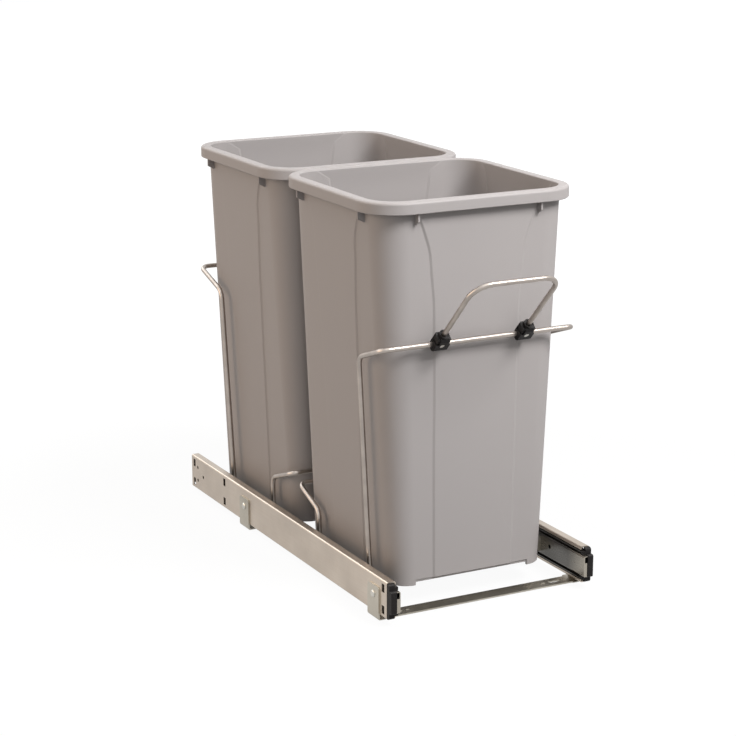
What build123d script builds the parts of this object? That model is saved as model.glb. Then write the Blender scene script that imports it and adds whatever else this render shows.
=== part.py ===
from build123d import *
import os

os.makedirs("parts", exist_ok=True)

# Two-bin pull-out for a kitchen cabinet. Millimetres, +X to the right, +Y into the cabinet,
# +Z up. The origin is the centre of the front strap's screw pattern, on the cabinet floor.

# Slides: three nested members, lying on edge along each side
slide_length = 558.8        # also the travel, as the slides extend fully
slide_height = 45.0
slide_thickness = 12.7
frame_width = 272.0         # across the outer faces of the cabinet rails
rail_lift = 7.0             # underside of the rails above the cabinet floor
rail_sheet = 1.2
bend_radius = 2.2           # outside radius of the rolled corners
outer_setback = 1.3         # cabinet rail's lips short of the slide's inner face
middle_setback = 0.9        # middle rail's flange edges short of the same face
lip_gap = 1.3               # cabinet rail's lips clear of the middle rail
inner_depth = 4.7           # depth of the bin-side rail's channel
web_gap = 0.8               # between the webs of the cabinet rail and the middle rail
outer_race_gap = 4.0
inner_race_gap = 3.0
outer_ball_inset = 6.0      # ball centres, in from the slide's outer face
inner_ball_inset = 2.8      # ball centres, in from the slide's inner face
groove_depth = 0.35
ball_clearance = 0.05
slide_clearance = 0.3
inner_rail_reach = 9.5      # bin-side rail ahead of the cabinet rail

# Ball cages
cage_sheet = 0.4
cage_length = 220.0
cage_lap = 0.45             # strip left beside each pocket
cage_stop_gap = 3.3         # inner cage clear of the bumper's plug at full travel
balls_per_row = 3

# Front bumpers
bumper_reach = 10.0
bumper_lap = 0.9            # centre block beyond the bin-side rail's flanges
bumper_corner = 2.5
wing_reach = 5.0
wing_inset = 1.0            # domed ends short of the slide's edges
wing_corner = 3.5
plug_length = 12.0

# Slots and holes in the rails, measured from the cabinet rail's ends
slot_wide = 6.5
slot_tall = 10.0
slot_offset = 13.0          # slots above and below the centre line
end_slot_inset = 9.0
rear_slot_inset = 107.8
rear_hole_radius = 2.2
rear_hole_inset = 37.8
rear_pair_inset = 19.8
rear_pair_offset = 9.0
inner_hole_station = 66.0
inner_hole_radius = 2.6
inner_hole_rise = 2.0
dimple_station = 20.0       # behind the bin-side rail's front end
dimple_radius = 0.8
tab_rise = 4.4              # folded front tab above the centre line

# Cross straps
strap_sheet = 1.8
strap_width = 20.0
strap_bend = 2.0
strap_root_round = 1.4
ear_width = 27.0
ear_height = 41.0
ear_corner = 4.0
shoulder_length = 9.0       # widened length of strap beside each ear
front_strap_inset = 30.0    # strap centre line behind the front ends of the cabinet rails
strap_pitch = 355.5
strap_hole_inset = 43.5     # from the rails' outer faces
strap_hole_radius = 2.4
strap_slot_step = 14.75     # slots outboard of the round holes
strap_slot_length = 15.5
strap_slot_width = 4.8
rivet_radius = 2.5
rivet_head_radius = 4.4
rivet_head_height = 1.5

# Bins
rim_front = -3.0            # front edge of the front bin's rim, from the front strap's line
rim_gap = 3.0               # between the two rims
bin_height = 450.0
base_side_gap = 0.2         # base short of the bends of the wires that carry it
base_depth = 229.6
base_corner = 24.0
side_taper = 23.7           # growth of each side from the base to the rim
end_taper = 3.0
neck_corner = 36.0
rim_side_lap = 10.5         # rim beyond the neck
rim_end_lap = 11.2
rim_sheet = 2.6             # flat top of the rim
rim_skirt = 14.0            # turned-down edge, from the rim's top
rim_skirt_wall = 2.4
rim_round = 3.4
mouth_round = 1.6
bin_wall = 2.2
bin_floor = 3.5
floor_round = 5.0
panel_rise = 1.2
base_inset = 1.2
foot_height = 3.5
foot_wall = 3.4
foot_side_length = 25.3     # corner feet along the front and back
foot_end_length = 36.8      # corner feet along the sides
gusset_thickness = 2.2
gusset_front_inset = 8.5    # gussets in from where the neck's corners begin
gusset_side_inset = 4.8
gusset_reach = 7.6
gusset_edge = 9.5           # upright outer edge, below the skirt
gusset_drop = 13.5

# Wire frame
wire_radius = 3.0
bed_drop = 4.5              # wires under the bins, below the slides' centre line
leg_offset = 11.8           # feet of the legs, in from the bin-side rails
tall_rail_rise = 289.0      # rails above the wires under the bins
front_low_rise = 63.0
rear_low_rise = 69.0
rail_drop = 20.0            # from each rail down to the shoulders of its legs
shoulder_gap = 6.9          # tall shoulders off the bins' sides
front_rail_gap = 6.0        # front tall rail off the front bin's face
rail_gap = 0.5              # the other rails off the bins' faces
front_tall_inset = 9.0      # legs in from the corner feet of the bin beside them
rear_tall_inset = 23.0
low_inset = 13.5
rail_corner = 11.0
shoulder_corner = 14.0
foot_corner = 10.5

# Brackets between the hoop legs and the bin-side rails
bracket_sheet = 1.6
bracket_length = 18.0
bracket_height = 19.0
bracket_hole = 10.8         # rivet behind the leg
bracket_rivet_radius = 1.8
bracket_rivet_head = 3.4
bracket_head_height = 1.3

# Grab handle
handle_lean = 44.6          # degrees forward of upright, as it stands
handle_height = 115.2       # from the hoop rail's centre to the top bar's centre
handle_width = 111.0
handle_corner = 24.5
clamp_width = 16.5
clamp_reach = 20.0          # from the hoop rail's centre to the collar's mouth
collar_length = 4.0
collar_wall = 1.6
collar_recess = 1.2
clamp_half_thickness = 6.0
keel_depth = 8.0
keel_chamfer = 2.0
clamp_round = 1.5
cheek_pocket = 0.8
wire_seat = 8.4             # inner end of the wire above the hoop rail's centre
wire_fit = 0.04
parting_gap = 0.8
jaw_width = 18.0
jaw_rear = 5.2
jaw_front = 8.2
jaw_depth = 7.6
jaw_chamfer = 2.6
clamp_screw_offset = 5.6
clamp_screw_margin = 3.5    # from the screw to the step above the jaw
clamp_screw_radius = 1.5
clamp_screw_head = 2.8
clamp_head_height = 1.8
clamp_head_sink = 0.2
nut_flat_radius = 2.75
nut_height = 1.7
nut_pocket = 2.0

# Places that follow from the sizes above
side_x = frame_width / 2
mid_z = rail_lift + slide_height / 2
rail_front = -front_strap_inset
middle_front = rail_front - slide_clearance
inner_front = rail_front - inner_rail_reach
outer_half = slide_height / 2
middle_half = outer_half - rail_sheet - outer_race_gap
inner_half = middle_half - rail_sheet - inner_race_gap
outer_end = slide_thickness - outer_setback
middle_start = rail_sheet + web_gap
middle_end = slide_thickness - middle_setback
inner_start = slide_thickness - inner_depth
inner_face_x = side_x - slide_thickness

leg_x = inner_face_x - leg_offset
wire_bed = mid_z - bed_drop
bin_base = wire_bed + wire_radius
bin_top = bin_base + bin_height
neck_z = bin_top - rim_sheet
step_z = bin_base + bin_floor
skirt_z = bin_top - rim_skirt
base_width = 2 * (leg_x - foot_corner - base_side_gap)
neck_width = base_width + 2 * side_taper
neck_depth = base_depth + 2 * end_taper
rim_width = neck_width + 2 * rim_side_lap
rim_depth = neck_depth + 2 * rim_end_lap
rim_corner = neck_corner + rim_end_lap
front_gusset_x = neck_width / 2 - neck_corner - gusset_front_inset
side_gusset_y = neck_depth / 2 - neck_corner - gusset_side_inset
foot_gap_x = base_width / 2 - foot_side_length
foot_gap_y = base_depth / 2 - foot_end_length
front_bin_y = rim_front + rim_depth / 2
rear_bin_y = front_bin_y + rim_depth + rim_gap


def block(x0, x1, y0, y1, z0, z1):
    return Pos((x0 + x1) / 2, (y0 + y1) / 2, (z0 + z1) / 2) * Box(x1 - x0, y1 - y0, z1 - z0)


def mirrored(shape):
    return mirror(shape, about=Plane.YZ)


# ---------------------------------------------------------------- slides
# Sections are drawn for the right-hand slide, with depths counted in from its outer face.

def rolled(depth0, depth1, half, radius):
    centre = Pos(side_x - (depth0 + depth1) / 2, mid_z)
    return centre * RectangleRounded(depth1 - depth0, 2 * half, radius)


def squared(depth0, depth1, half):
    centre = Pos(side_x - (depth0 + depth1) / 2, mid_z)
    return centre * Rectangle(depth1 - depth0, 2 * half)


def grooves(inset, height, radius):
    return [Pos(side_x - inset, mid_z + s * height) * Circle(radius) for s in (1, -1)]


def along_y(section, start, length):
    return Pos(0, start, 0) * extrude(Plane.XZ * section, amount=-length)


def cross_pin(depth0, depth1, y, z, radius):
    length = depth1 - depth0
    return Pos(side_x - (depth0 + depth1) / 2, y, z) * (Rot(0, 90, 0) * Cylinder(radius, length))


def web_hole(y, z, radius):
    return cross_pin(-rail_sheet, 1.3 * rail_sheet, y, z, radius)


def rivet(y, tail, seat, head_height, radius, head_radius):
    """Shank between two depths, with a bevelled head standing on the seat."""
    out = 1 if seat > tail else -1
    ends = sorted((seat, seat + out * head_height))
    head = cross_pin(*ends, y, mid_z, head_radius)
    rim = head.edges().filter_by(GeomType.CIRCLE).sort_by(Axis.X)[0 if out > 0 else -1]
    head = chamfer(rim, head_height * 0.7)
    return cross_pin(*sorted((tail, seat)), y, mid_z, radius) + head


inside_radius = bend_radius - rail_sheet
spare = 2 * bend_radius

outer_section = rolled(0, outer_end, outer_half, bend_radius)
outer_section -= rolled(rail_sheet, outer_end - rail_sheet, outer_half - rail_sheet, inside_radius)
outer_section -= squared(outer_end - 1.5 * rail_sheet, outer_end + rail_sheet, middle_half + lip_gap)

middle_section = rolled(middle_start, middle_end + spare, middle_half, bend_radius)
middle_section &= squared(middle_start, middle_end, middle_half)
middle_section -= rolled(middle_start + rail_sheet, middle_end + 2 * spare,
                         middle_half - rail_sheet, inside_radius)

inner_section = rolled(inner_start - spare, slide_thickness, inner_half, bend_radius)
inner_section &= squared(inner_start, slide_thickness, inner_half)
inner_section -= rolled(inner_start - 2 * spare, slide_thickness - rail_sheet,
                        inner_half - rail_sheet, inside_radius)

# The balls run in shallow grooves rolled into the flanges on both sides of each gap
outer_ball_z = middle_half + outer_race_gap / 2
inner_ball_z = inner_half + inner_race_gap / 2
inner_ball_depth = slide_thickness - inner_ball_inset
outer_groove = outer_race_gap / 2 + groove_depth
inner_groove = inner_race_gap / 2 + groove_depth
for groove in grooves(outer_ball_inset, outer_ball_z, outer_groove):
    outer_section -= groove
    middle_section -= groove
for groove in grooves(inner_ball_depth, inner_ball_z, inner_groove):
    middle_section -= groove
    inner_section -= groove

outer_rail = along_y(outer_section, rail_front, slide_length)
middle_rail = along_y(middle_section, middle_front, slide_length - slide_clearance)
inner_rail = along_y(inner_section, inner_front, slide_length)

# Paired slots near both ends and small holes at the rear of the cabinet rail
rail_rear = rail_front + slide_length
for y in (rail_front + end_slot_inset, rail_rear - rear_slot_inset, rail_rear - end_slot_inset):
    for s in (1, -1):
        outer_rail -= Pos(side_x, y, mid_z + s * slot_offset) * Box(
            2.5 * rail_sheet, slot_wide, slot_tall)
for y, height in ((rail_rear - rear_pair_inset, rear_pair_offset),
                  (rail_rear - rear_pair_inset, -rear_pair_offset),
                  (rail_rear - rear_hole_inset, 0)):
    outer_rail -= web_hole(y, mid_z + height, rear_hole_radius)

# Bin-side rail: one open hole, a dimple behind the front end, and a tab folded across the channel
inner_rail -= cross_pin(inner_start, slide_thickness + rail_sheet, rail_front + inner_hole_station,
                        mid_z + inner_hole_rise, inner_hole_radius)
inner_rail -= Pos(inner_face_x, inner_front + dimple_station, mid_z) * (
    Rot(0, 90, 0) * Sphere(dimple_radius))
inner_rail += block(inner_face_x, side_x - inner_start - slide_clearance,
                    inner_front, inner_front + rail_sheet,
                    mid_z - inner_half + rail_sheet, mid_z + tab_rise)

# ---------------------------------------------------------------- front bumpers
# A black stop plugged into the middle rail: a deep centre block, domed ends above and below it,
# and two short arms that reach over the bin-side rail.


def front_profile(half, reach, corner):
    face = Pos(-reach / 2, 0) * Rectangle(reach, 2 * half)
    return fillet(face.vertices().group_by(Axis.X)[0], corner)


bumper_outline = front_profile(inner_half + bumper_lap, bumper_reach, bumper_corner)
bumper_outline += front_profile(outer_half - wing_inset, wing_reach, wing_corner)
bumper_thickness = inner_start - 2 * slide_clearance
bumper_inner_x = side_x - slide_clearance - bumper_thickness
bumper = extrude(Plane.YZ * bumper_outline, amount=bumper_thickness)
bumper = Pos(bumper_inner_x, middle_front, mid_z) * bumper
arm_low = inner_half + slide_clearance
for z0, z1 in ((arm_low, middle_half), (-middle_half, -arm_low)):
    bumper += block(side_x - middle_end, bumper_inner_x + slide_clearance,
                    middle_front - wing_reach, middle_front, mid_z + z0, mid_z + z1)
bumper += block(side_x - inner_start + slide_clearance, side_x - middle_start - rail_sheet,
                middle_front, middle_front + plug_length,
                mid_z - inner_half + rail_sheet, mid_z + inner_half - rail_sheet)

# ---------------------------------------------------------------- ball cages
# Each cage is a thin strip with its edges folded into the two races, punched for the balls.
# The cages roll a quarter of the travel ahead of the member that they run in.
cage_start = middle_front + plug_length + slide_length / 4 + cage_stop_gap


def cage_and_balls(depth0, ball_depth, ball_z, groove):
    ball_radius = groove - ball_clearance
    depth1 = ball_depth + groove + cage_lap
    half = ball_z + cage_sheet / 2
    section = squared(depth0, depth1, half)
    section -= squared(depth0 + cage_sheet, depth1 + cage_sheet, half - cage_sheet)
    cage = along_y(section, cage_start, cage_length)
    pitch = cage_length / balls_per_row
    centre_x = side_x - ball_depth
    spots = [(cage_start + (i + 0.5) * pitch, mid_z + s * ball_z)
             for i in range(balls_per_row) for s in (1, -1)]
    for y, z in spots:
        cage -= Pos(centre_x, y, z) * Cylinder(groove, 4 * cage_sheet)
    right, left = [Compound([Pos(x, y, z) * Sphere(ball_radius) for y, z in spots])
                   for x in (centre_x, -centre_x)]
    return {"right_": right, "left_": left, "cage": cage}


outer_set = cage_and_balls(rail_sheet + (web_gap - cage_sheet) / 2,
                           outer_ball_inset, outer_ball_z, outer_groove)
inner_set = cage_and_balls(inner_start - slide_clearance - cage_sheet,
                           inner_ball_depth, inner_ball_z, inner_groove)

# ---------------------------------------------------------------- cross straps


def strap(y):
    wide = frame_width + 2 * strap_sheet
    outside = Pos(0, ear_height / 2) * Rectangle(wide, ear_height)
    outside = fillet(outside.vertices().group_by(Axis.Y)[0], strap_bend + strap_sheet)
    inside = Pos(0, strap_sheet + ear_height / 2) * Rectangle(frame_width, ear_height)
    inside = fillet(inside.vertices().group_by(Axis.Y)[0], strap_bend)
    body = extrude(Plane.XZ * (outside - inside), amount=ear_width / 2, both=True)
    plan = Rectangle(wide, strap_width)
    shoulder = strap_sheet + shoulder_length
    for s in (1, -1):
        plan += Pos(s * (wide - shoulder) / 2, 0) * Rectangle(shoulder, ear_width)
    root = plan.vertices().filter_by(lambda v: abs(abs(v.X) - wide / 2 + shoulder) < 0.01)
    plan = fillet(root, strap_root_round)
    body &= extrude(plan, amount=ear_height)
    ear = Pos(0, ear_height / 2) * Rectangle(ear_width, ear_height)
    ear = fillet(ear.vertices().group_by(Axis.Y)[-1], ear_corner)
    ear = chamfer(ear.vertices().group_by(Axis.Y)[0], strap_sheet)
    body &= extrude(Plane.YZ * ear, amount=wide, both=True)
    hole_x = side_x - strap_hole_inset
    slot = SlotOverall(strap_slot_length, strap_slot_width)
    for s in (1, -1):
        body -= Pos(s * hole_x, 0, 0) * Cylinder(strap_hole_radius, 3 * strap_sheet)
        placed = Pos(s * (hole_x + strap_slot_step), 0) * slot
        body -= extrude(placed, amount=2 * strap_sheet, both=True)
        body -= Pos(s * wide / 2, 0, mid_z) * (
            Rot(0, 90, 0) * Cylinder(rivet_radius, 4 * strap_sheet))
    return Pos(0, y, 0) * body


strap_rivets = []
for y in (0, strap_pitch):
    outer_rail -= web_hole(y, mid_z, rivet_radius)
    strap_rivets.append(rivet(y, rail_sheet, -strap_sheet, rivet_head_height,
                              rivet_radius, rivet_head_radius))

# ---------------------------------------------------------------- bins
# The body tapers from the neck to the base and its corners tighten with it.


def taper(low, high, z):
    return low + (high - low) * (z - bin_base) / (neck_z - bin_base)


def outline(z, grow=0.0):
    face = RectangleRounded(taper(base_width, neck_width, z) + 2 * grow,
                            taper(base_depth, neck_depth, z) + 2 * grow,
                            taper(base_corner, neck_corner, z) + grow)
    return Pos(0, 0, z) * face


def tapered(z0, z1, grow=0.0):
    return loft([outline(z0, grow), outline(z1, grow)], ruled=True)


def rim_block(z0, z1, inset=0.0):
    face = RectangleRounded(rim_width - 2 * inset, rim_depth - 2 * inset, rim_corner - inset)
    return Pos(0, 0, z0) * extrude(face, amount=z1 - z0)


def waisted(stations):
    """Symmetric panel outline from (half width, height) pairs, base to shoulder."""
    right = Spline([(w, z) for w, z in stations])
    left = Spline([(-w, z) for w, z in stations])
    low = Line((-stations[0][0], stations[0][1]), (stations[0][0], stations[0][1]))
    high = Line((-stations[-1][0], stations[-1][1]), (stations[-1][0], stations[-1][1]))
    return make_face([low, right, high, left])


# Half widths of the raised panels at shares of the body's height
front_panel = ((52, 0), (54, 0.33), (55.5, 0.64), (60, 0.82), (69, 0.92),
               (neck_width / 2 - neck_corner - panel_rise, 1))
side_panel = ((37, 0), (42, 0.32), (46, 0.6), (52, 0.83), (60, 0.94),
              (neck_depth / 2 - neck_corner - panel_rise, 1))


def panelled_body():
    head = neck_z + rim_sheet / 2
    body = tapered(step_z, head)
    raised = tapered(step_z, head, panel_rise)
    for panel, plane in ((front_panel, Plane.XZ), (side_panel, Plane.YZ)):
        face = waisted([(w, step_z + t * (head - step_z)) for w, t in panel])
        body += raised & extrude(plane * face, amount=rim_width, both=True)
    return body


def footed_base():
    """Floor plate set in from the body, with a foot wall round each corner."""
    under = Pos(0, 0, -foot_height)
    feet = extrude(under * outline(bin_base), amount=foot_height + bin_floor)
    feet -= extrude(under * outline(bin_base, -foot_wall), amount=foot_height)
    low = bin_base - foot_height - bin_floor
    feet -= block(-foot_gap_x, foot_gap_x, -rim_depth, rim_depth, low, step_z)
    feet -= block(-rim_width, rim_width, -foot_gap_y, foot_gap_y, low, step_z)
    return extrude(outline(bin_base, -base_inset), amount=bin_floor) + feet


def skirted_rim():
    rim = rim_block(skirt_z, bin_top)
    rim = fillet(rim.edges().group_by(Axis.Z)[-1], rim_round)
    return rim - rim_block(skirt_z, neck_z, rim_skirt_wall)


def gussets(offset, neck, rim, turn):
    """Two ribs on each of two facing walls, hanging from the rim inside its skirt."""
    near = neck / 2 - bin_wall
    edge = neck / 2 + gusset_reach
    far = rim / 2 - rim_skirt_wall / 2
    foot_z = skirt_z - gusset_drop
    head_z = neck_z + rim_sheet / 2
    shape = Polyline((near, foot_z), (neck / 2, foot_z), (edge, skirt_z - gusset_edge),
                     (edge, skirt_z + 1), (far, skirt_z + 1), (far, head_z), (near, head_z),
                     close=True)
    rib = extrude(Plane.YZ * make_face(shape), amount=gusset_thickness / 2, both=True)
    return [Rot(0, 0, turn + flip) * (Pos(s * offset, 0, 0) * rib)
            for s in (1, -1) for flip in (0, 180)]


def bin_shell():
    body = panelled_body() + footed_base() + skirted_rim()
    body += gussets(front_gusset_x, neck_depth, rim_depth, 0)
    body += gussets(side_gusset_y, neck_width, rim_width, 90)
    hollow = tapered(step_z, bin_top + 1, -bin_wall)
    hollow = fillet(hollow.edges().group_by(Axis.Z)[0], floor_round)
    body -= hollow
    mouth = body.edges().group_by(Axis.Z)[-1].filter_by(GeomType.BSPLINE)
    return fillet(mouth, mouth_round)


bin_body = bin_shell()

# ---------------------------------------------------------------- wire hoops


def hoop(rail_y, rail_z, leg_y, half_top):
    """Closed hoop: rail, two slanting runs to the shoulders, legs and the wire under the bin."""
    right = [(half_top, rail_y, rail_z), (half_top, leg_y, rail_z - rail_drop),
             (leg_x, leg_y, wire_bed)]
    path = FilletPolyline((0, rail_y, rail_z), *right, (0, leg_y, wire_bed),
                          radius=[rail_corner, shoulder_corner, foot_corner], close=False)
    section = Plane(origin=(0, rail_y, rail_z), z_dir=(1, 0, 0)) * Circle(wire_radius)
    half = sweep(section, path=path)
    return half + mirrored(half)


def end_face(y_centre, z, side):
    """Face of a bin's raised panel at a height, towards the front (-1) or the rear (+1)."""
    return y_centre + side * (taper(base_depth, neck_depth, z) / 2 + panel_rise)


def rail_line(y_centre, z, side, gap):
    return end_face(y_centre, z, side) + side * (gap + wire_radius)


tall_z = wire_bed + tall_rail_rise
front_low_z = wire_bed + front_low_rise
rear_low_z = wire_bed + rear_low_rise
tall_front_y = rail_line(front_bin_y, tall_z, -1, front_rail_gap)
shoulder_width = taper(base_width, neck_width, tall_z - rail_drop)
tall_x = shoulder_width / 2 + panel_rise + shoulder_gap + wire_radius

leg_lines = {
    "front_tall_hoop": front_bin_y - foot_gap_y + front_tall_inset,
    "front_low_hoop": front_bin_y + foot_gap_y - low_inset,
    "rear_low_hoop": rear_bin_y - foot_gap_y + low_inset,
    "rear_tall_hoop": rear_bin_y + foot_gap_y - rear_tall_inset,
}
hoops = {}
for name, rail_y, rail_z, half_top in (
        ("front_tall_hoop", tall_front_y, tall_z, tall_x),
        ("front_low_hoop", rail_line(front_bin_y, front_low_z, 1, rail_gap), front_low_z, leg_x),
        ("rear_low_hoop", rail_line(rear_bin_y, rear_low_z, -1, rail_gap), rear_low_z, leg_x),
        ("rear_tall_hoop", rail_line(rear_bin_y, tall_z, 1, rail_gap), tall_z, tall_x)):
    hoops[name] = hoop(rail_y, rail_z, leg_lines[name], half_top)

# ---------------------------------------------------------------- leg brackets


def bracket(leg_y, wire):
    """Angle on the bin-side rail; its free edge is coped round the hoop's leg."""
    low, high = mid_z - bracket_height / 2, mid_z + bracket_height / 2
    angle = block(inner_face_x - bracket_sheet, inner_face_x, leg_y, leg_y + bracket_length,
                  low, high)
    angle += block(leg_x - wire_radius / 2, inner_face_x, leg_y - bracket_sheet / 2,
                   leg_y + bracket_sheet / 2, low, high)
    angle = max((angle - wire).solids(), key=lambda s: s.volume)
    return angle - cross_pin(slide_thickness, slide_thickness + 2 * bracket_sheet,
                             leg_y + bracket_hole, mid_z, bracket_rivet_radius)


brackets = []
bracket_rivets = []
for name, leg_y in leg_lines.items():
    angle = bracket(leg_y, hoops[name])
    hole_y = leg_y + bracket_hole
    pin = rivet(hole_y, slide_thickness - rail_sheet, slide_thickness + bracket_sheet,
                bracket_head_height, bracket_rivet_radius, bracket_rivet_head)
    brackets += [angle, mirrored(angle)]
    bracket_rivets += [pin, mirrored(pin)]
    inner_rail -= cross_pin(inner_start, slide_thickness + rail_sheet, hole_y, mid_z,
                            bracket_rivet_radius)

# ---------------------------------------------------------------- grab handle
# Drawn upright over the hoop rail: Z runs up the handle, +Y faces the bin.

half_grip = handle_width / 2
grip_path = FilletPolyline((-half_grip, 0, wire_seat), (-half_grip, 0, handle_height),
                           (half_grip, 0, handle_height), (half_grip, 0, wire_seat),
                           radius=handle_corner)
handle_wire = sweep(Plane(origin=(-half_grip, 0, wire_seat), z_dir=(0, 0, 1)) * Circle(wire_radius),
                    path=grip_path)

rail_bore = Rot(0, 90, 0) * Cylinder(wire_radius + wire_fit, 2 * clamp_width)
screw_line = Pos(0, 0, clamp_screw_offset)
screw_bore = screw_line * (Rot(90, 0, 0) * Cylinder(clamp_screw_radius + wire_fit, 2 * clamp_reach))
jaw_step = clamp_screw_offset + clamp_screw_margin
nut_floor = clamp_half_thickness - nut_pocket


def hexagon(flat_radius, height):
    return extrude(RegularPolygon(flat_radius, 6, major_radius=False), amount=height)


def clamp_block():
    """Half clamp behind the rail, with a keel, a collar for the wire and a nut pocket."""
    top = clamp_reach - collar_length
    profile = Circle(clamp_half_thickness)
    profile += Pos(0, top / 2) * Rectangle(2 * clamp_half_thickness, top)
    profile -= Pos(parting_gap / 2 - clamp_half_thickness, 0) * Rectangle(
        2 * clamp_half_thickness, 2 * jaw_step)
    body = extrude(Plane.YZ * profile, amount=clamp_width / 2, both=True)
    keel_top = top + collar_length / 3
    keel = Polyline((0, jaw_step), (-keel_depth, jaw_step), (-keel_depth, top - keel_chamfer),
                    (-clamp_half_thickness, keel_top), (0, keel_top), close=True)
    body += extrude(Plane.YZ * make_face(keel), amount=clamp_width / 3, both=True)
    uprights = body.edges().filter_by(Axis.Z).group_by(SortBy.LENGTH)[-1]
    body = fillet(uprights, clamp_round)
    body += Pos(0, 0, (top + clamp_reach) / 2 - collar_length / 2) * Cylinder(
        clamp_half_thickness, 2 * collar_length)
    body -= rail_bore
    socket_end = clamp_reach + 1
    body -= Pos(0, 0, (wire_seat + socket_end) / 2) * Cylinder(
        wire_radius + wire_fit, socket_end - wire_seat)
    body -= Pos(0, 0, clamp_reach) * Cylinder(wire_radius + collar_wall, 2 * collar_recess)
    body -= screw_bore
    nut = hexagon(nut_flat_radius, clamp_half_thickness)
    body -= Pos(0, nut_floor, clamp_screw_offset) * (Rot(-90, 0, 0) * nut)
    for s in (1, -1):
        body -= Pos(s * clamp_width / 2, clamp_half_thickness / 2, (jaw_step + top) / 2 - 2) * Box(
            2 * cheek_pocket, clamp_half_thickness - 2 * cheek_pocket, clamp_reach / 2)
    return body


def clamp_jaw():
    """Front half of the clamp, drawn back against the block by its screw."""
    upper = -parting_gap / 2
    profile = Polyline((upper, -jaw_rear), (upper, jaw_front), (-jaw_depth, jaw_front),
                       (-jaw_depth, jaw_chamfer - jaw_rear), (jaw_chamfer - jaw_depth, -jaw_rear),
                       close=True)
    body = extrude(Plane.YZ * make_face(profile), amount=jaw_width / 2, both=True)
    body -= rail_bore
    body -= screw_bore
    recess = 2 * (clamp_head_height + clamp_head_sink)
    body -= Pos(0, -jaw_depth, clamp_screw_offset) * (
        Rot(90, 0, 0) * Cylinder(clamp_screw_head + clamp_head_sink, recess))
    return body


def clamp_screw():
    seat = clamp_head_height + clamp_head_sink - jaw_depth
    end = clamp_half_thickness - clamp_head_sink
    shank = Pos(0, (seat + end) / 2, clamp_screw_offset) * (
        Rot(90, 0, 0) * Cylinder(clamp_screw_radius, end - seat))
    head = Pos(0, seat - clamp_head_height / 2, clamp_screw_offset) * (
        Rot(90, 0, 0) * Cylinder(clamp_screw_head, clamp_head_height))
    return shank + head


def clamp_nut():
    body = hexagon(nut_flat_radius - wire_fit, nut_height)
    body -= Cylinder(clamp_screw_radius + wire_fit, 4 * nut_height)
    return Pos(0, nut_floor, clamp_screw_offset) * (Rot(-90, 0, 0) * body)


def on_rail(shape, x=0.0):
    return Pos(x, tall_front_y, tall_z) * (Rot(handle_lean, 0, 0) * shape)


clamp_screws = [on_rail(clamp_screw(), x) for x in (-half_grip, half_grip)]
clamp_nuts = [on_rail(clamp_nut(), x) for x in (-half_grip, half_grip)]

# ---------------------------------------------------------------- the set of pieces
pieces = {
    "front_strap": strap(0),
    "rear_strap": strap(strap_pitch),
    "strap_rivets": Compound(strap_rivets + [mirrored(r) for r in strap_rivets]),
    "leg_brackets": Compound(brackets),
    "bracket_rivets": Compound(bracket_rivets),
    "handle_wire": on_rail(handle_wire),
    "clamp_screws": Compound(clamp_screws),
    "clamp_nuts": Compound(clamp_nuts),
    "front_bin": Pos(0, front_bin_y, 0) * bin_body,
    "rear_bin": Pos(0, rear_bin_y, 0) * bin_body,
}
pieces.update(hoops)
for name, shape in (("outer_rail", outer_rail), ("middle_rail", middle_rail),
                    ("inner_rail", inner_rail), ("bumper", bumper),
                    ("outer_cage", outer_set["cage"]), ("inner_cage", inner_set["cage"])):
    pieces["right_" + name] = shape
    pieces["left_" + name] = mirrored(shape)
for side, x in (("right_", half_grip), ("left_", -half_grip)):
    pieces[side + "outer_balls"] = outer_set[side]
    pieces[side + "inner_balls"] = inner_set[side]
    pieces[side + "clamp_block"] = on_rail(clamp_block(), x)
    pieces[side + "clamp_jaw"] = on_rail(clamp_jaw(), x)

for name, shape in pieces.items():
    export_step(shape, "parts/" + name + ".step")
    print(name, len(shape.solids()), round(shape.volume, 1))
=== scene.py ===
import math

import bmesh
import bpy
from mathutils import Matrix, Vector


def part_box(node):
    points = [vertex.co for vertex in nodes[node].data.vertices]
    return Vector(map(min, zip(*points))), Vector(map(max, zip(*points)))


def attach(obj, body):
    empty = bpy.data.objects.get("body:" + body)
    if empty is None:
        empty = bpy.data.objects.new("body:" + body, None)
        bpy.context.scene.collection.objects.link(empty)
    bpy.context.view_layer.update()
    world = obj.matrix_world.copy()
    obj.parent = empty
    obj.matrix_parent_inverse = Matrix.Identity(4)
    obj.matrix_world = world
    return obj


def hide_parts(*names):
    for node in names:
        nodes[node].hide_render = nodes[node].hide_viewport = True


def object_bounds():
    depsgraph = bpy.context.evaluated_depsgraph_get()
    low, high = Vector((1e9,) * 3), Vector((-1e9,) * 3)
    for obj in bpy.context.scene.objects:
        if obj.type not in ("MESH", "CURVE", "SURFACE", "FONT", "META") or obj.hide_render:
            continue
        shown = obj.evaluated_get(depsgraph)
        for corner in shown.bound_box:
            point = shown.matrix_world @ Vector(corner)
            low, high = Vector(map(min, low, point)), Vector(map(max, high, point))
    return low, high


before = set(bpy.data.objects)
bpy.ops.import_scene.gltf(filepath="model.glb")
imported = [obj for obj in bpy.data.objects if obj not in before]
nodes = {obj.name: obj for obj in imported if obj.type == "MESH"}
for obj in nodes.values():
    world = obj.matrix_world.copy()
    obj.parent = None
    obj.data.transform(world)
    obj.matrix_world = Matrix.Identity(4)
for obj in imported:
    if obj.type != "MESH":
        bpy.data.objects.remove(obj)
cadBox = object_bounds()
scene = bpy.context.scene
print("frame loaded,", len(nodes), "nodes")


# camera: fitted to the photograph, a long lens from the front left
# places in metres, angles in degrees, lens and sensor in millimetres
shot = {"place": (-1.1936, -1.9989, 0.8886), "tilt": 75.3, "turn": -27.7, "lens": 103.01,
        "sensor": 36, "farEnd": 50}

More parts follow.
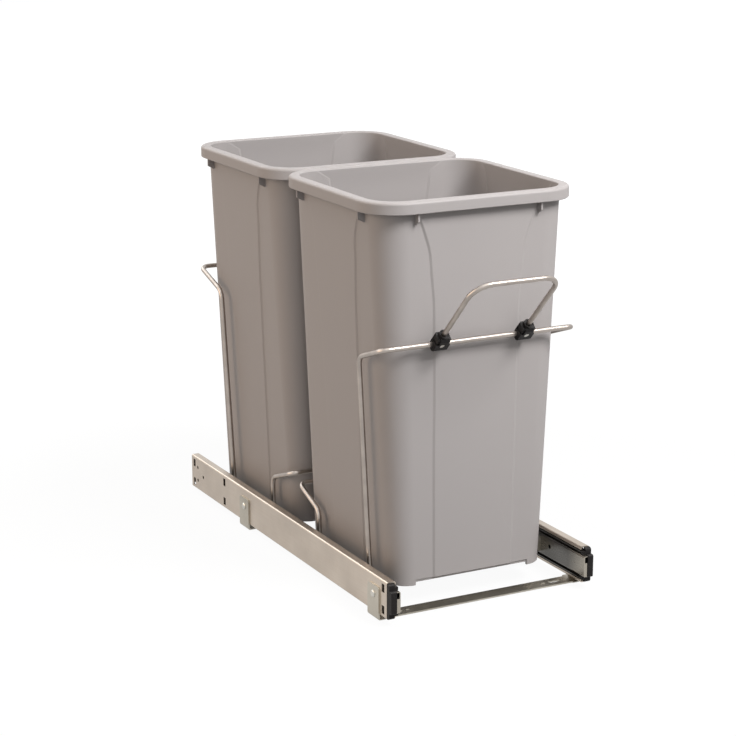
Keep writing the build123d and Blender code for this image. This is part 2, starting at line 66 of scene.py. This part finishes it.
cameraData = bpy.data.cameras.new("studioCamera")
cameraData.lens = shot["lens"]
cameraData.sensor_width = shot["sensor"]
cameraData.clip_end = shot["farEnd"]
camera = bpy.data.objects.new("studioCamera", cameraData)
camera.location = shot["place"]
camera.rotation_euler = (math.radians(shot["tilt"]), 0, math.radians(shot["turn"]))
scene.collection.objects.link(camera)
scene.camera = camera
scene.view_settings.view_transform = "Standard"
print("camera set")


# in the helpers for nodes, place is only where the node sits in the editor
def addNode(tree, kind, place, **values):
    node = tree.nodes.new(kind)
    node.location = place
    for name, value in values.items():
        setattr(node, name, value)
    return node


def setInputs(node, **values):
    for name, value in values.items():
        node.inputs[name.replace("_", " ")].default_value = value
    return node


def newGroup(name, inputs, outputs):
    group = bpy.data.node_groups.new(name, "ShaderNodeTree")
    for label, value in inputs.items():
        kind = "NodeSocketVector" if isinstance(value, tuple) else "NodeSocketFloat"
        group.interface.new_socket(label, in_out="INPUT", socket_type=kind).default_value = value
    for label in outputs:
        group.interface.new_socket(label, in_out="OUTPUT", socket_type="NodeSocketFloat")
    source = addNode(group, "NodeGroupInput", (-900, 0))
    result = addNode(group, "NodeGroupOutput", (700, 0))
    return group, source, result


def objectSpot(tree, place):
    return addNode(tree, "ShaderNodeTexCoord", place).outputs["Object"]


def noiseIn(tree, vector, scale, detail, roughness, place):
    noise = addNode(tree, "ShaderNodeTexNoise", place)
    setInputs(noise, Detail=detail, Roughness=roughness)
    if isinstance(scale, (int, float)):
        noise.inputs["Scale"].default_value = scale
    else:
        tree.links.new(scale, noise.inputs["Scale"])
    tree.links.new(vector, noise.inputs["Vector"])
    return noise.outputs["Fac"]


def mathIn(tree, operation, first, second, place, clamp=False):
    node = addNode(tree, "ShaderNodeMath", place, operation=operation, use_clamp=clamp)
    for socket, value in zip(node.inputs, (first, second)):
        if isinstance(value, (int, float)):
            socket.default_value = value
        else:
            tree.links.new(value, socket)
    return node.outputs[0]


def rangeIn(tree, value, low, high, place, toLow=0.0, toHigh=1.0):
    node = addNode(tree, "ShaderNodeMapRange", place)
    limits = {"From Min": low, "From Max": high, "To Min": toLow, "To Max": toHigh}
    for label, limit in limits.items():
        node.inputs[label].default_value = limit
    tree.links.new(value, node.inputs["Value"])
    return node.outputs["Result"]


# moulded grain: fine pebbled texture with broad, faint flow marks
# a noise is (detail, roughness), and what is seen of it lies between two levels
grainForm = {
    "inputs": {"Grain Scale": 900.0, "Flow Scale": 7.0}, "pebbleSoft": 0.6, "fineNoise": (3.0, 0.6),
    "speckleSeen": (0.35, 0.65), "flowNoise": (3.0, 0.5), "flowStretch": (1.0, 1.0, 0.25),
}


def makeGrainGroup(form):
    group, source, result = newGroup("mouldedGrain", form["inputs"], ("Height", "Flow", "Speckle"))
    link = group.links.new
    spot = objectSpot(group, (-900, -300))
    pebble = addNode(group, "ShaderNodeTexVoronoi", (-400, 200), feature="SMOOTH_F1")
    setInputs(pebble, Smoothness=form["pebbleSoft"])
    link(spot, pebble.inputs["Vector"])
    link(source.outputs["Grain Scale"], pebble.inputs["Scale"])
    fine = noiseIn(group, spot, source.outputs["Grain Scale"], *form["fineNoise"], (-400, 0))
    link(mathIn(group, "ADD", pebble.outputs["Distance"], fine, (0, 200)), result.inputs["Height"])
    link(rangeIn(group, fine, *form["speckleSeen"], (200, 0)), result.inputs["Speckle"])
    drawn = addNode(group, "ShaderNodeMapping", (-600, -300))
    setInputs(drawn, Scale=form["flowStretch"])
    link(spot, drawn.inputs["Vector"])
    flow = noiseIn(group, drawn.outputs["Vector"], source.outputs["Flow Scale"], *form["flowNoise"],
                   (-400, -300))
    link(flow, result.inputs["Flow"])
    return group


# rolled metal: hair lines drawn out along one direction, over cloudy plating with small spots
rolledForm = {
    "inputs": {"Line Scale": 400.0, "Stretch": (1.0, 0.02, 1.0), "Cloud Scale": 30.0},
    "lineNoise": (5.0, 0.65), "cloudNoise": (3.0, 0.5), "spotScale": 260.0, "spotNoise": (2.0, 0.4),
    "linesSeen": (0.3, 0.7), "cloudSeen": (0.3, 0.7), "spotsSeen": (0.62, 0.72),
}


def makeRolledGroup(form):
    group, source, result = newGroup("rolledMetal", form["inputs"], ("Lines", "Cloud", "Spots"))
    link = group.links.new
    spot = objectSpot(group, (-900, -300))
    drawn = addNode(group, "ShaderNodeVectorMath", (-600, 100), operation="MULTIPLY")
    link(spot, drawn.inputs[0])
    link(source.outputs["Stretch"], drawn.inputs[1])
    lines = noiseIn(group, drawn.outputs["Vector"], source.outputs["Line Scale"], *form["lineNoise"],
                    (-300, 100))
    cloud = noiseIn(group, spot, source.outputs["Cloud Scale"], *form["cloudNoise"], (-300, -150))
    spots = noiseIn(group, spot, form["spotScale"], *form["spotNoise"], (-300, -400))
    link(rangeIn(group, lines, *form["linesSeen"], (200, 100)), result.inputs["Lines"])
    link(rangeIn(group, cloud, *form["cloudSeen"], (200, -150)), result.inputs["Cloud"])
    link(rangeIn(group, spots, *form["spotsSeen"], (200, -400)), result.inputs["Spots"])
    return group


# handling marks: sparse thin scratches and a faint film of dust on what faces up
wearForm = {
    "inputs": {"Scratch Scale": 22.0, "Dust Scale": 40.0}, "warpScale": 6.0, "warpDetail": 2.0,
    "warpReach": (0.2, 0.2, 0.05), "scratchWidth": 0.006, "patchScale": 11.0, "patchNoise": (2.0, 0.5),
    "patchSeen": (0.56, 0.68), "facingUp": (0.5, 1.0), "filmNoise": (4.0, 0.7), "filmSeen": (0.4, 0.75),
}


def makeWearGroup(form):
    group, source, result = newGroup("handlingMarks", form["inputs"], ("Scratches", "Dust"))
    link = group.links.new
    spot = objectSpot(group, (-900, -300))
    warp = addNode(group, "ShaderNodeTexNoise", (-700, 200))
    setInputs(warp, Scale=form["warpScale"], Detail=form["warpDetail"])
    link(spot, warp.inputs["Vector"])
    bent = addNode(group, "ShaderNodeVectorMath", (-500, 200), operation="MULTIPLY_ADD")
    link(warp.outputs["Color"], bent.inputs[0])
    bent.inputs[1].default_value = form["warpReach"]
    link(spot, bent.inputs[2])
    scratch = addNode(group, "ShaderNodeTexVoronoi", (-300, 200), feature="DISTANCE_TO_EDGE")
    link(bent.outputs["Vector"], scratch.inputs["Vector"])
    link(source.outputs["Scratch Scale"], scratch.inputs["Scale"])
    thin = rangeIn(group, scratch.outputs["Distance"], 0.0, form["scratchWidth"], (-50, 200), 1.0, 0.0)
    patches = noiseIn(group, spot, form["patchScale"], *form["patchNoise"], (-300, -50))
    patchy = rangeIn(group, patches, *form["patchSeen"], (-50, -50))
    link(mathIn(group, "MULTIPLY", thin, patchy, (300, 150)), result.inputs["Scratches"])

    facing = addNode(group, "ShaderNodeNewGeometry", (-700, -500))
    split = addNode(group, "ShaderNodeSeparateXYZ", (-500, -500))
    link(facing.outputs["Normal"], split.inputs[0])
    upward = rangeIn(group, split.outputs["Z"], *form["facingUp"], (-300, -500))
    film = noiseIn(group, spot, source.outputs["Dust Scale"], *form["filmNoise"], (-300, -300))
    film = rangeIn(group, film, *form["filmSeen"], (-50, -300))
    link(mathIn(group, "MULTIPLY", upward, film, (300, -300)), result.inputs["Dust"])
    return group


grainGroup = makeGrainGroup(grainForm)
rolledGroup = makeRolledGroup(rolledForm)
wearGroup = makeWearGroup(wearForm)
print("shader groups built")


def newMaterial(name):
    material = bpy.data.materials.new(name)
    material.use_nodes = True
    tree = material.node_tree
    return material, tree, tree.nodes["Principled BSDF"]


def addGroup(tree, group, place, **values):
    return setInputs(addNode(tree, "ShaderNodeGroup", place, node_tree=group), **values)


def mixColours(tree, share, first, second, place):
    # inputs 0, 6 and 7 of a colour mix are its factor and its two colours, output 2 is the result
    node = addNode(tree, "ShaderNodeMix", place, data_type="RGBA")
    for index, value in ((0, share), (6, first), (7, second)):
        if isinstance(value, tuple):
            node.inputs[index].default_value = (*value, 1)
        else:
            tree.links.new(value, node.inputs[index])
    return node.outputs[2]


def tintWhere(tree, base, mask, amount, tint, place):
    share = mathIn(tree, "MULTIPLY", mask, amount, (place[0] - 350, place[1] - 300))
    return mixColours(tree, share, base, tint, place)


def addBump(tree, shader, height, strength, distance):
    bump = addNode(tree, "ShaderNodeBump", (-150, -400))
    setInputs(bump, Strength=strength, Distance=distance)
    tree.links.new(height, bump.inputs["Height"])
    tree.links.new(bump.outputs["Normal"], shader.inputs["Normal"])


def makePlastic(name, look):
    material, tree, shader = newMaterial(name)
    grain = addGroup(tree, grainGroup, (-1100, 100), Grain_Scale=look["grain"], Flow_Scale=look["flow"])
    wear = addGroup(tree, wearGroup, (-1100, -200), Scratch_Scale=look["scratch"],
                    Dust_Scale=look["dustScale"])
    base = mixColours(tree, grain.outputs["Flow"], look["dark"], look["light"], (-700, 200))
    base = tintWhere(tree, base, grain.outputs["Speckle"], look["speckle"], look["dark"], (-500, 200))
    base = tintWhere(tree, base, wear.outputs["Scratches"], look["scuff"], look["worn"], (-350, 200))
    base = tintWhere(tree, base, wear.outputs["Dust"], look["dust"], look["dustTint"], (-200, 200))
    tree.links.new(base, shader.inputs["Base Color"])
    smooth, coarse = look["rough"] - look["roughLess"], look["rough"] + look["roughMore"]
    rough = rangeIn(tree, grain.outputs["Flow"], *look["flowSeen"], (-500, -50), smooth, coarse)
    dull = mathIn(tree, "MULTIPLY", wear.outputs["Scratches"], look["scratchRough"], (-500, -200))
    tree.links.new(mathIn(tree, "ADD", rough, dull, (-350, -50)), shader.inputs["Roughness"])
    shader.inputs["Specular IOR Level"].default_value = look["gloss"]
    addBump(tree, shader, grain.outputs["Height"], look["bump"], look["grainDepth"])
    return material


def makeMetal(name, look):
    material, tree, shader = newMaterial(name)
    rolled = addGroup(tree, rolledGroup, (-1100, 100), Line_Scale=look["lines"],
                      Stretch=look["stretch"], Cloud_Scale=look["cloud"])
    wear = addGroup(tree, wearGroup, (-1100, -200), Dust_Scale=look["dustScale"])
    base = mixColours(tree, rolled.outputs["Cloud"], look["dark"], look["light"], (-700, 200))
    base = tintWhere(tree, base, rolled.outputs["Lines"], look["streak"], look["dark"], (-500, 200))
    base = tintWhere(tree, base, wear.outputs["Dust"], look["dust"], look["dustTint"], (-350, 200))
    if "paintedLitEndSpan" in look:  # painted light: the colour turns lighter towards the front end, where the rail is lit
        split = addNode(tree, "ShaderNodeSeparateXYZ", (-900, 400))
        tree.links.new(objectSpot(tree, (-1100, 400)), split.inputs[0])
        paintedLitEnd = rangeIn(tree, split.outputs["Y"], *look["paintedLitEndSpan"], (-700, 400), 1.0, 0.0)
        base = mixColours(tree, paintedLitEnd, base, look["paintedLitEnd"], (-200, 200))
    tree.links.new(base, shader.inputs["Base Color"])
    smooth, coarse = look["rough"] - look["roughLess"], look["rough"] + look["roughMore"]
    rough = rangeIn(tree, rolled.outputs["Lines"], 0.0, 1.0, (-500, -50), smooth, coarse)
    dull = mathIn(tree, "MULTIPLY", rolled.outputs["Spots"], look["spotRough"], (-500, -200))
    tree.links.new(mathIn(tree, "ADD", rough, dull, (-350, -50)), shader.inputs["Roughness"])
    shader.inputs["Metallic"].default_value = 1.0
    addBump(tree, shader, rolled.outputs["Lines"], look["bump"], look["lineDepth"])
    return material


# bins: one shell of even wall pressed out into soft-edged panels, sizes in millimetres
# base, neck, rim, footEnds and places: along the front and back walls, then along the side walls
# corners and levels: at the bottom of the walls, then at the top
# panels: (share of the wall's height, half width)
# crease at a panel's edge: (edge widths out from the half width, share of the rise)
# creaseOuter, creaseInner: edge widths from there to the flat wall and to the flat panel
# creaseRoom: the least edge widths between a panel's half width and the corner
binForm = {
    "base": (201.6, 229.6), "neck": (249.0, 235.6), "corners": (24.0, 36.0), "levels": (31.5, 475.4),
    "wall": 2.2, "rise": 1.5, "edge": 1.35, "creaseOuter": 1.4, "creaseInner": 1.5, "creaseRoom": 2.4,
    "crease": ((1, 0.04), (0.6, 0.2), (0.3, 0.35), (0, 0.5),
               (-0.3, 0.65), (-0.6, 0.8), (-1, 0.96), (-1.4, 1)),
    "frontPanel": ((0, 52), (0.33, 54), (0.64, 55.5), (0.82, 60), (0.92, 69), (1, 86)),
    "sidePanel": ((0, 37), (0.32, 42), (0.6, 46), (0.83, 52), (0.94, 60), (1, 80)),
    "innerFrontPanel": ((0, 52), (0.33, 54), (0.64, 56), (0.82, 61), (0.92, 66), (1, 71)),
    "innerSidePanel": ((0, 37), (0.32, 42), (0.6, 47), (0.83, 57), (0.92, 64), (1, 73)),
    "rim": (270.0, 258.0), "rimCorner": 47.2, "skirt": 14.0, "skirtWall": 2.4, "rimSheet": 2.6,
    "rimRound": 3.4, "mouthRound": 1.6, "floorRound": 5.0, "smallRound": 0.7,
    "plate": 3.5, "plateInset": 1.2, "foot": 3.5, "footWall": 3.4, "footEnds": (25.3, 36.8),
    "rows": 44, "pressRows": 2, "panelColumns": (0.75, 0.5, 0.25), "arc": 10,
    "rimSteps": 6, "mouthSteps": 4, "floorSteps": 5, "sharpAngle": 42,
}
# ribs: places from the middle of a wall, reach out from it, edge and drop below the skirt
ribForm = {"places": (80.0, 77.0), "thick": 2.2, "reach": 7.6, "edge": 9.5, "drop": 13.5,
           "footSunk": 1.9, "headSunk": 0.1, "lap": 1.0}
metresPerMillimetre = 0.001

# each wall: the way out of it, the way along it, then which of a pair of sizes is its own and
# which is its neighbours'
walls = []
for turn, outward in enumerate(((0, -1), (1, 0), (0, 1), (-1, 0))):
    out = Vector(outward)
    walls.append((out, Vector((-out.y, out.x)), turn % 2, 1 - turn % 2))


def between(low, high, share):
    return low + (high - low) * share


def panelWidth(stations, share):
    # half width at a share of the height, on a smooth curve through the stations
    last = len(stations) - 1
    slopes = []
    for i in range(last + 1):
        lowShare, lowWidth = stations[max(i - 1, 0)]
        highShare, highWidth = stations[min(i + 1, last)]
        slopes.append((highWidth - lowWidth) / (highShare - lowShare))
    i = next((k for k in range(last) if share <= stations[k + 1][0]), last - 1)
    startShare, startWidth = stations[i]
    endShare, endWidth = stations[i + 1]
    step = endShare - startShare
    part = (share - startShare) / step
    fromStart = startWidth + part * step * slopes[i]
    fromEnd = endWidth - (1 - part) * step * slopes[i + 1]
    return between(fromStart, fromEnd, part * part * (3 - 2 * part))


def wallColumns(form, flat, width):
    # places along half a wall from its corner to its middle, each with its share of the rise
    edge = form["edge"]
    width = min(width, flat - form["creaseRoom"] * edge)
    outer = width + form["creaseOuter"] * edge
    inner = width - form["creaseInner"] * edge
    columns = [(flat, 0), (between(outer, flat, 0.5), 0), (outer, 0)]
    columns += [(width + away * edge, risen) for away, risen in form["crease"]]
    return columns + [(inner * part, 1) for part in form["panelColumns"]]


def cornerFacings(out, along, steps):
    # directions round a corner, from facing out of one wall to facing out of the next
    angles = [math.pi / 2 * i / steps for i in range(steps + 1)]
    return [out * math.cos(angle) + along * math.sin(angle) for angle in angles]


def binRing(form, z, grow, pressed=0.0, rim=False, panels=("frontPanel", "sidePanel")):
    # closed line of points round the bin at one height, every ring with the same columns
    bottom, top = form["levels"]
    share = min(max((z - bottom) / (top - bottom), 0), 1)
    halves = [between(low, high, share) / 2 for low, high in zip(form["base"], form["neck"])]
    radius = between(*form["corners"], share)
    flats = [half - radius for half in halves]
    if rim:
        halves = [size / 2 for size in form["rim"]]
        radius = form["rimCorner"]
    points = []
    for out, along, own, other in walls:
        flat, deep = halves[own] - radius, halves[other]
        columns = wallColumns(form, flats[own], panelWidth(form[panels[own]], share))
        row = [(-shift, risen) for shift, risen in columns] + [(0, 1)] + columns[::-1]
        for shift, risen in row:
            points.append(out * (deep + grow + risen * pressed) + along * shift * flat / flats[own])
        centre = along * flat + out * (deep - radius)
        for facing in cornerFacings(out, along, form["arc"])[1:-1]:
            points.append(centre + (radius + grow) * facing)
    return [(*point, z) for point in points]


def quarterRound(radius, steps, turn, centre):
    # points of a quarter circle that starts at the angle turn, in degrees
    angles = [math.radians(turn + 90 * i / steps) for i in range(steps + 1)]
    return [(centre[0] + radius * math.cos(angle), centre[1] + radius * math.sin(angle))
            for angle in angles]


def binRings(form):
    # from under the floor plate up the outside, over the rim and down the inside
    # points of the profile are (distance out from the wall, height)
    bottom, top = form["levels"]
    rows, soft, rise = form["rows"], form["smallRound"], form["rise"]
    rimTop = top + form["rimSheet"]
    skirtZ = rimTop - form["skirt"]
    plateZ = bottom - form["plate"]
    plate, lap, inner = -form["plateInset"], -form["skirtWall"], -form["wall"]
    rimRound, mouth, floor = form["rimRound"], form["mouthRound"], form["floorRound"]
    inside = ("innerFrontPanel", "innerSidePanel")

    under = [(plate - soft, plateZ), (plate, plateZ + soft), (plate, bottom)]
    rings = [binRing(form, z, grow) for grow, z in under]
    rings += [binRing(form, between(bottom, top, i / rows), 0, rise) for i in range(rows + 1)]
    skirt = [(lap, top), (lap, skirtZ + soft), (lap + soft, skirtZ), (-soft, skirtZ), (0, skirtZ + soft)]
    skirt += quarterRound(rimRound, form["rimSteps"], 0, (-rimRound, rimTop - rimRound))
    rings += [binRing(form, z, grow, rim=True) for grow, z in skirt]
    lip = quarterRound(mouth, form["mouthSteps"], 90, (inner + mouth, rimTop - mouth))
    rings += [binRing(form, z, grow) for grow, z in lip]
    for i in range(1, rows + 1):
        z = between(rimTop - mouth, bottom + floor, i / rows)
        pressed = rise * min(1, i / form["pressRows"])
        rings.append(binRing(form, z, inner, pressed, panels=inside))
    hollow = quarterRound(floor, form["floorSteps"], -90, (inner - floor, bottom + floor))
    for grow, z in hollow[-2::-1]:  # downwards, without the point that ends the wall
        rings.append(binRing(form, z, grow, rise * (z - bottom) / floor, panels=inside))
    return rings


def bridge(mesh, rings):
    # quads between rings of points, with a cap on each end
    lines = [[mesh.verts.new(point) for point in ring] for ring in rings]
    count = len(lines[0])
    for low, high in zip(lines, lines[1:]):
        for j in range(count):
            k = (j + 1) % count
            mesh.faces.new((low[j], low[k], high[k], high[j]))
    mesh.faces.new(lines[0][::-1])
    mesh.faces.new(lines[-1])


def addFeet(mesh, form):
    # a low wall round each corner, flush with the outside
    halves = [size / 2 for size in form["base"]]
    radius = form["corners"][0]
    high, soft, thick = form["levels"][0], form["smallRound"], form["footWall"]
    low = high - form["plate"] - form["foot"]
    section = [(0, high), (0, low + soft), (-soft, low), (soft - thick, low), (-thick, low + soft),
               (-thick, high)]
    for out, along, own, other in walls:
        centre = along * (halves[own] - radius) + out * (halves[other] - radius)
        stations = [(out, along * (halves[own] - form["footEnds"][own]) + out * halves[other])]
        for facing in cornerFacings(out, along, form["arc"]):
            stations.append((facing, centre + radius * facing))
        stations.append((along, out * (halves[other] - form["footEnds"][other]) + along * halves[own]))
        bridge(mesh, [[(*(spot + facing * grow), z) for grow, z in section]
                      for facing, spot in stations])


def addRibs(mesh, form, ribs):
    # small webs that hang inside the skirt, two on every wall
    top, thick, lap = form["levels"][1], ribs["thick"] / 2, ribs["lap"]
    skirtZ = top + form["rimSheet"] - form["skirt"]
    footZ, edgeZ = skirtZ - ribs["drop"], skirtZ - ribs["edge"]
    for out, along, own, other in walls:
        wall = form["neck"][other] / 2
        near = wall + ribs["reach"]
        far = form["rim"][other] / 2 - form["skirtWall"] / 2
        outline = [(wall - ribs["footSunk"], footZ), (wall, footZ), (near, edgeZ), (near, skirtZ + lap),
                   (far, skirtZ + lap), (far, top + lap), (wall - ribs["headSunk"], top + lap)]
        for middle in (-ribs["places"][own], ribs["places"][own]):
            bridge(mesh, [[(*(out * deep + along * (middle + side)), z) for deep, z in outline]
                          for side in (-thick, thick)])


def makeBin(name, body, node, form, ribs, material):
    mesh = bmesh.new()
    bridge(mesh, binRings(form))
    addFeet(mesh, form)
    addRibs(mesh, form, ribs)
    bmesh.ops.recalc_face_normals(mesh, faces=mesh.faces)
    bmesh.ops.scale(mesh, vec=(metresPerMillimetre,) * 3, verts=mesh.verts)
    data = bpy.data.meshes.new(name)
    mesh.to_mesh(data)
    mesh.free()
    data.shade_smooth()
    data.set_sharp_from_angle(angle=math.radians(form["sharpAngle"]))
    data.materials.append(material)
    piece = bpy.data.objects.new(name, data)
    low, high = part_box(node)
    piece.location = ((low[0] + high[0]) / 2, (low[1] + high[1]) / 2, 0)
    scene.collection.objects.link(piece)
    shade = piece.modifiers.new("evenShade", "WEIGHTED_NORMAL")
    shade.keep_sharp = True
    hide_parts(node)
    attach(piece, body)


# what both plastics share: dust, spread of the roughness, and the grain's depth in metres
plasticLook = {"dustScale": 60.0, "dustTint": (0.62, 0.6, 0.57), "flowSeen": (0.3, 0.7),
               "roughLess": 0.04, "roughMore": 0.05, "scratchRough": 0.12, "grainDepth": 0.0002}

binLook = dict(plasticLook, grain=1400.0, flow=5.0, scratch=9.0, dark=(0.335, 0.313, 0.309),
               light=(0.37, 0.347, 0.342), worn=(0.45, 0.44, 0.43), speckle=0.12, scuff=0.1,
               dust=0.06, rough=0.47, gloss=0.24, bump=0.2)
binPlastic = makePlastic("binPlastic", binLook)
makeBin("frontBin", "front_bin", "front_bin", binForm, ribForm, binPlastic)
makeBin("rearBin", "rear_bin", "rear_bin", binForm, ribForm, binPlastic)
print("bins made")


def dress(material, *names):
    for name in names:
        mesh = nodes[name].data
        mesh.materials.clear()
        mesh.materials.append(material)


def bothSides(*names):
    return [side + name for name in names for side in ("left_", "right_")]


blackLook = dict(plasticLook, grain=2200.0, flow=30.0, scratch=40.0, dark=(0.01, 0.009, 0.009),
                 light=(0.019, 0.017, 0.017), worn=(0.09, 0.085, 0.08), speckle=0.2, scuff=0.5,
                 dust=0.03, rough=0.4, gloss=0.13, bump=0.3)
dress(makePlastic("blackPlastic", blackLook), *bothSides("bumper", "clamp_block", "clamp_jaw"))

# what the metals share: dust, spread of the roughness, spots, and the lines' depth in metres
metalLook = {"dustScale": 80.0, "dust": 0.12, "dustTint": (0.5, 0.48, 0.45), "roughLess": 0.06,
             "roughMore": 0.08, "spotRough": 0.08, "lineDepth": 0.00005}

railLook = dict(metalLook, lines=900.0, stretch=(1.0, 0.012, 1.0), cloud=18.0, dark=(0.5, 0.435, 0.37),
                light=(0.62, 0.545, 0.465), streak=0.35, rough=0.36, bump=0.25)
dress(makeMetal("platedRail", railLook), *bothSides("outer_rail"))

# the members that run inside are darker: painted shade and painted dark reflection, standing in for the
# shade between the rails
paintedShadeRailLook = dict(railLook, dark=(0.1, 0.096, 0.088), light=(0.19, 0.182, 0.17), rough=0.28)
dress(makeMetal("paintedShadeRail", paintedShadeRailLook), *bothSides("middle_rail"))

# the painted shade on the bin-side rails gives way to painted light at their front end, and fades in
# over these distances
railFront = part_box("left_inner_rail")[0].y
litEndFrom, litEndTo = 0.002, 0.035
litEndRailLook = dict(paintedShadeRailLook, paintedLitEnd=(0.42, 0.385, 0.33),
                 paintedLitEndSpan=(railFront + litEndFrom, railFront + litEndTo))
dress(makeMetal("paintedShadeLitEndRail", litEndRailLook), *bothSides("inner_rail"))

strapLook = dict(railLook, stretch=(0.012, 1.0, 1.0), dark=(0.4, 0.372, 0.315),
                 light=(0.55, 0.515, 0.445))
dress(makeMetal("platedStrap", strapLook), "front_strap", "rear_strap", "leg_brackets")

wireLook = dict(metalLook, lines=1500.0, stretch=(1.0, 1.0, 1.0), cloud=60.0, dark=(0.37, 0.33, 0.298),
                light=(0.48, 0.43, 0.39), streak=0.25, rough=0.33, bump=0.15)
dress(makeMetal("satinWire", wireLook), "front_tall_hoop", "front_low_hoop", "rear_low_hoop",
      "rear_tall_hoop", "handle_wire")

fastenerLook = dict(wireLook, dark=(0.5, 0.49, 0.45), light=(0.64, 0.62, 0.57), rough=0.3)
dress(makeMetal("brightFastener", fastenerLook), "strap_rivets", "bracket_rivets", "clamp_screws",
      "clamp_nuts")

cageLook = dict(railLook, dark=(0.2, 0.19, 0.175), light=(0.3, 0.29, 0.27), rough=0.34)
dress(makeMetal("cageStrip", cageLook), *bothSides("outer_cage", "inner_cage"))

ballLook = dict(wireLook, dark=(0.68, 0.67, 0.66), light=(0.78, 0.77, 0.76), rough=0.14, bump=0.02)
dress(makeMetal("polishedBall", ballLook), *bothSides("outer_balls", "inner_balls"))
print("materials on the packed pieces")


def mixShaders(tree, share, first, second, output):
    mix = addNode(tree, "ShaderNodeMixShader", (300, 0))
    for socket, value in zip(mix.inputs, (share, first.outputs[0], second.outputs[0])):
        tree.links.new(value, socket)
    tree.links.new(mix.outputs[0], tree.nodes[output].inputs["Surface"])


# floor: pale, reads white to the camera but keeps a soft contact shadow
# halfWidth, below and fade are in metres, and the shadow's share falls to nothing over fade
# mirrored is the share of white that glossy rays see
floorLook = {"halfWidth": 8.0, "below": 0.0005, "white": 0.3, "rough": 0.9, "gloss": 0.1,
             "shadow": 0.14, "fade": (0.7, 1.8), "mirrored": 0.6, "glow": 1.1}

floorMesh = bpy.data.meshes.new("studioFloor")
half = floorLook["halfWidth"]
floorMesh.from_pydata([(-half, -half, 0), (half, -half, 0), (half, half, 0), (-half, half, 0)], [],
                      [(0, 1, 2, 3)])
floor = bpy.data.objects.new("studioFloor", floorMesh)
floor.location.z = cadBox[0].z - floorLook["below"]
scene.collection.objects.link(floor)

floorMaterial, tree, shader = newMaterial("paleFloor")
shader.inputs["Roughness"].default_value = floorLook["rough"]
shader.inputs["Specular IOR Level"].default_value = floorLook["gloss"]
shader.inputs["Base Color"].default_value = (floorLook["white"],) * 3 + (1,)
glow = setInputs(addNode(tree, "ShaderNodeEmission", (0, -300)), Strength=floorLook["glow"])
rays = addNode(tree, "ShaderNodeLightPath", (-600, 300)).outputs
straight = mathIn(tree, "ADD", rays["Is Camera Ray"], rays["Is Transmission Ray"], (-400, 300),
                  clamp=True)
distance = addNode(tree, "ShaderNodeVectorMath", (-700, 100), operation="LENGTH")
tree.links.new(objectSpot(tree, (-900, 100)), distance.inputs[0])
lit = rangeIn(tree, distance.outputs["Value"], *floorLook["fade"], (-500, 100),
              1 - floorLook["shadow"], 1.0)
straight = mathIn(tree, "MULTIPLY", straight, lit, (-200, 300))
mirrored = mathIn(tree, "MULTIPLY", rays["Is Glossy Ray"], floorLook["mirrored"], (-200, 500))
glowing = mathIn(tree, "ADD", straight, mirrored, (0, 300), clamp=True)
mixShaders(tree, glowing, shader, glow, "Material Output")
floorMesh.materials.append(floorMaterial)

# surroundings: dim and warm as light, plain white where they are seen or mirrored
worldLook = {"light": 0.25, "tint": (1.0, 0.985, 0.965, 1), "seenLight": 1.0, "seenTint": (1, 1, 1, 1)}

world = bpy.data.worlds.new("studioWorld")
scene.world = world
world.use_nodes = True
tree = world.node_tree
dim = setInputs(tree.nodes["Background"], Color=worldLook["tint"], Strength=worldLook["light"])
bright = setInputs(addNode(tree, "ShaderNodeBackground", (0, -200)), Color=worldLook["seenTint"],
                   Strength=worldLook["seenLight"])
rays = addNode(tree, "ShaderNodeLightPath", (-600, 300)).outputs
seen = mathIn(tree, "ADD", rays["Is Camera Ray"], rays["Is Glossy Ray"], (-400, 300))
seen = mathIn(tree, "ADD", seen, rays["Is Transmission Ray"], (-200, 300), clamp=True)
mixShaders(tree, seen, dim, bright, "World Output")

# lamps: square soft boxes round the object, in metres and watts
lamps = {
    "frontKey": {"place": (0.62, -1.3, 1.95), "size": 0.85, "power": 66, "tint": (1.0, 0.99, 0.985)},
    "topFill": {"place": (-0.2, -0.2, 2.4), "size": 1.6, "power": 14, "tint": (1.0, 1.0, 1.0)},
    "rearFill": {"place": (-0.7, 2.4, 1.9), "size": 1.8, "power": 22, "tint": (1.0, 1.0, 1.0)},
    "coolCorner": {"place": (-1.5, -2.2, 1.7), "size": 0.9, "power": 5, "tint": (0.93, 0.97, 1.0)},
    "warmSide": {"place": (-2.3, 0.9, 0.8), "size": 2.2, "power": 29, "tint": (1.0, 0.75, 0.54)},
}
aim = Vector((0, 0.25, 0.25))  # all face this point near the object's middle
for name, lamp in lamps.items():
    lampData = bpy.data.lights.new(name, "AREA")
    lampData.energy = lamp["power"]
    lampData.size = lamp["size"]
    lampData.color = lamp["tint"]
    lampObject = bpy.data.objects.new(name, lampData)
    lampObject.location = lamp["place"]
    lampObject.rotation_euler = (aim - lampObject.location).to_track_quat("-Z", "Y").to_euler()
    scene.collection.objects.link(lampObject)
print("studio set")
